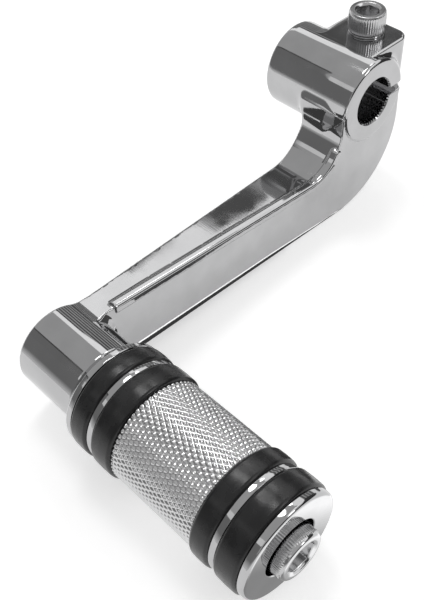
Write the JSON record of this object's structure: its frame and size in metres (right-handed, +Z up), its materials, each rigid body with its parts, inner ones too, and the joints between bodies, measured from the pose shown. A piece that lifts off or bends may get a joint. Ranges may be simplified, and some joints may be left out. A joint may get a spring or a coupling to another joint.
{
  "type": "motorcycle gear shift lever",
  "caption": "Chromed foot lever with a splined split clamp hub, bent arm and a knurled toe peg with rubber rings.",
  "frame": {"origin": "middle of the shift shaft bore, on the bore's axis", "axes": "+X forward along the arm to the peg, +Y away from the engine along the shaft, +Z up"},
  "size_m": [0.1632, 0.1194, 0.0619],
  "materials": {
    "lever_chrome": "mirror polished chrome plate",
    "trim_chrome": "mirror polished chrome plate",
    "knurl_chrome": "bright chrome over a diamond knurl",
    "screw_chrome": "bright plated",
    "plain_steel": "turned",
    "core_aluminium": "turned",
    "bush_bronze": "sintered bronze",
    "grip_rubber": "satin moulded rubber"
  },
  "bodies": {
    "lever": {"lever": "lever_chrome", "peg_screw": "screw_chrome", "peg_head_washer": "plain_steel", "pivot_tube": "plain_steel", "thrust_washer": "plain_steel", "wave_washer": "plain_steel"},
    "peg": {"peg_core": "core_aluminium", "inner_bush": "bush_bronze", "outer_bush": "bush_bronze", "inboard_flange": "trim_chrome", "rubber_ring_1": "grip_rubber", "spacer_ring_1": "trim_chrome", "rubber_ring_2": "grip_rubber", "knurled_sleeve": "knurl_chrome", "rubber_ring_3": "grip_rubber", "spacer_ring_2": "trim_chrome", "rubber_ring_4": "grip_rubber", "end_cap": "trim_chrome"},
    "pinch_washer": {"pinch_washer": "screw_chrome"},
    "pinch_screw": {"pinch_screw": "screw_chrome"}
  },
  "joints": [
    {"name": "peg_spin", "type": "hinge", "parent": "lever", "child": "peg", "pos_m": [0.1264, 0.0644, -0.022], "axis": [0, 1, 0], "continuous": true},
    {"name": "pinch_travel", "type": "slide", "parent": "lever", "child": "pinch_washer", "axis": [0, 0, 1], "range_m": [0, 0.00424]},
    {"name": "pinch_turn", "type": "hinge", "parent": "pinch_washer", "child": "pinch_screw", "pos_m": [-0.0124, 0.0024, 0.0152], "axis": [0, 0, 1], "range_deg": [0, 1080]}
  ],
  "couplings": [
    {"joint": "pinch_travel", "follows": "pinch_turn", "m_per_rad": 0.00022459}
  ]
}
